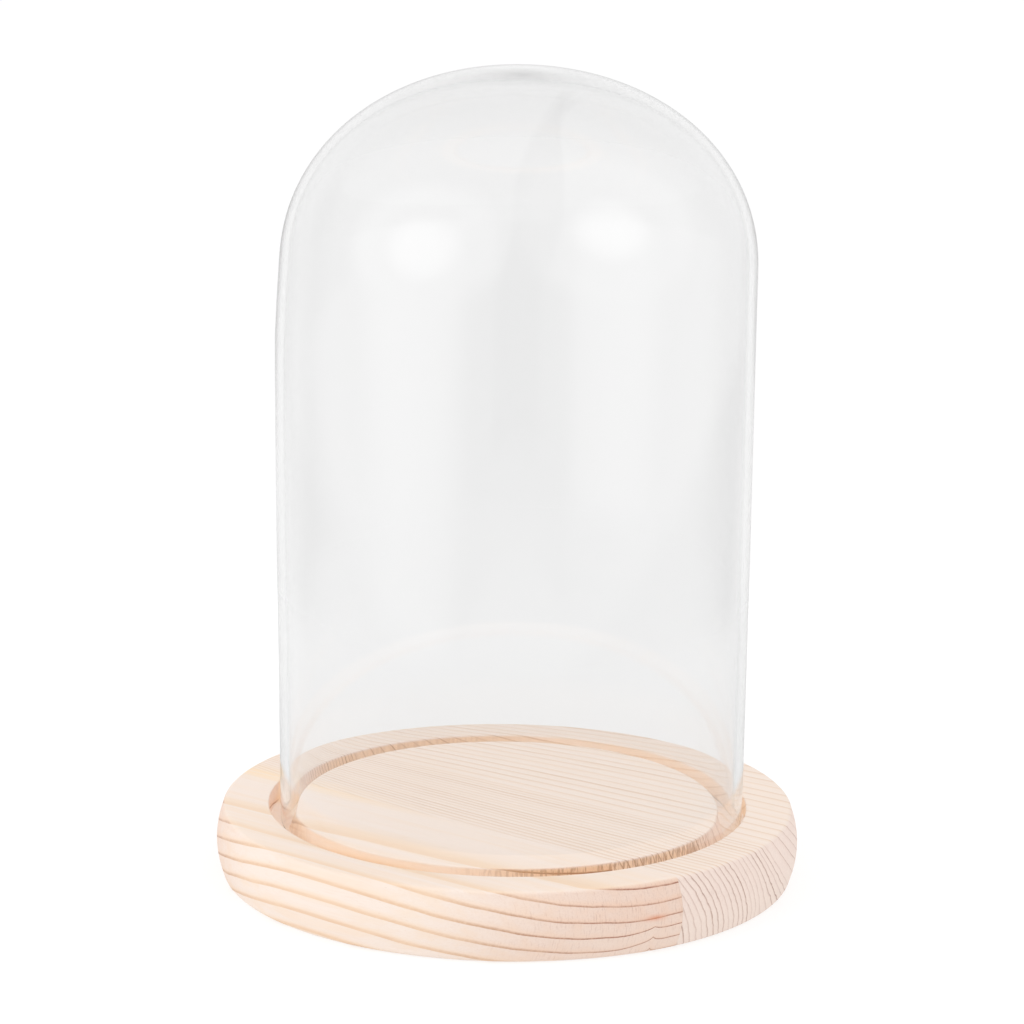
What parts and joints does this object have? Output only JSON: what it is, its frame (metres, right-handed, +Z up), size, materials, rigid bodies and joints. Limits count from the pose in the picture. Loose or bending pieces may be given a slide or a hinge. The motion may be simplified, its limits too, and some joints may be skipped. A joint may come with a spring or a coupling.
{
  "type": "bell jar dome",
  "caption": "Clear glass bell jar, a cylinder under a rounded crown, that lifts off a round pine base with a groove for its rim.",
  "frame": {"origin": "centre of the base's flat underside", "axes": "+Z up, along the dome's axis; X along the wood grain and the glue line; the flat-sawn board is on the -Y side"},
  "size_m": [0.15, 0.15, 0.208],
  "materials": {
    "pine_flat_sawn": "raw sanded pine, flat-sawn",
    "pine_rift_sawn": "raw sanded pine, rift-sawn",
    "clear_glass": "clear, fire-polished"
  },
  "bodies": {
    "base": {"base_front_board": "pine_flat_sawn", "base_rear_board": "pine_rift_sawn"},
    "dome": {"glass_dome": "clear_glass"}
  },
  "joints": [
    {"name": "dome_lift", "type": "slide", "parent": "base", "child": "dome", "axis": [0, 0, 1], "range_m": [0, 0.2]}
  ]
}
